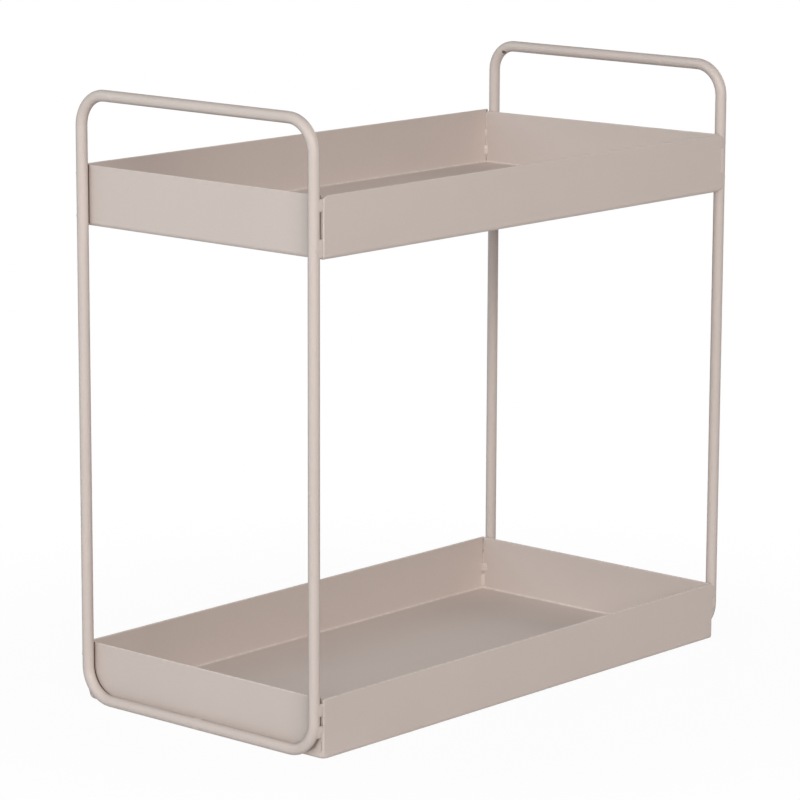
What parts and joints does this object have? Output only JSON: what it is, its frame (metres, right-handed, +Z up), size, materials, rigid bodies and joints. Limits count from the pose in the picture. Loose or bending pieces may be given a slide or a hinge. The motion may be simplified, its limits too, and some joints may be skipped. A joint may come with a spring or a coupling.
{
  "type": "tiered steel tray shelf",
  "caption": "Free-standing tiered steel shelf: folded sheet trays welded between bent round-bar hoops that rise above the top tray as carrying handles.",
  "frame": {"origin": "middle of the footprint, on the surface the shelf stands on", "axes": "+X runs along the trays from the left hoop to the right hoop, +Y from front to back, +Z up"},
  "size_m": [0.4416, 0.224, 0.43],
  "materials": {
    "bar_coat": "satin powder coat over round steel bar, dusty beige-pink",
    "sheet_coat": "satin powder coat over folded steel sheet, dusty beige-pink",
    "weld_coat": "satin powder coat over weld deposits, dusty beige-pink"
  },
  "bodies": {
    "root": {"left_hoop": "bar_coat", "left_hoop_closing_weld": "weld_coat", "right_hoop": "bar_coat", "right_hoop_closing_weld": "weld_coat", "lower_tray": "sheet_coat", "upper_tray": "sheet_coat", "lower_left_front_rim_tack": "weld_coat", "lower_left_front_base_tack": "weld_coat", "lower_left_front_seam_tack": "weld_coat", "lower_left_front_floor_tack": "weld_coat", "lower_left_back_rim_tack": "weld_coat", "lower_left_back_base_tack": "weld_coat", "lower_left_back_seam_tack": "weld_coat", "lower_left_back_floor_tack": "weld_coat", "lower_right_front_rim_tack": "weld_coat", "lower_right_front_base_tack": "weld_coat", "lower_right_front_seam_tack": "weld_coat", "lower_right_front_floor_tack": "weld_coat", "lower_right_back_rim_tack": "weld_coat", "lower_right_back_base_tack": "weld_coat", "lower_right_back_seam_tack": "weld_coat", "lower_right_back_floor_tack": "weld_coat", "upper_left_front_rim_tack": "weld_coat", "upper_left_front_base_tack": "weld_coat", "upper_left_front_seam_tack": "weld_coat", "upper_left_front_floor_tack": "weld_coat", "upper_left_back_rim_tack": "weld_coat", "upper_left_back_base_tack": "weld_coat", "upper_left_back_seam_tack": "weld_coat", "upper_left_back_floor_tack": "weld_coat", "upper_right_front_rim_tack": "weld_coat", "upper_right_front_base_tack": "weld_coat", "upper_right_front_seam_tack": "weld_coat", "upper_right_front_floor_tack": "weld_coat", "upper_right_back_rim_tack": "weld_coat", "upper_right_back_base_tack": "weld_coat", "upper_right_back_seam_tack": "weld_coat", "upper_right_back_floor_tack": "weld_coat"}
  },
  "joints": []
}
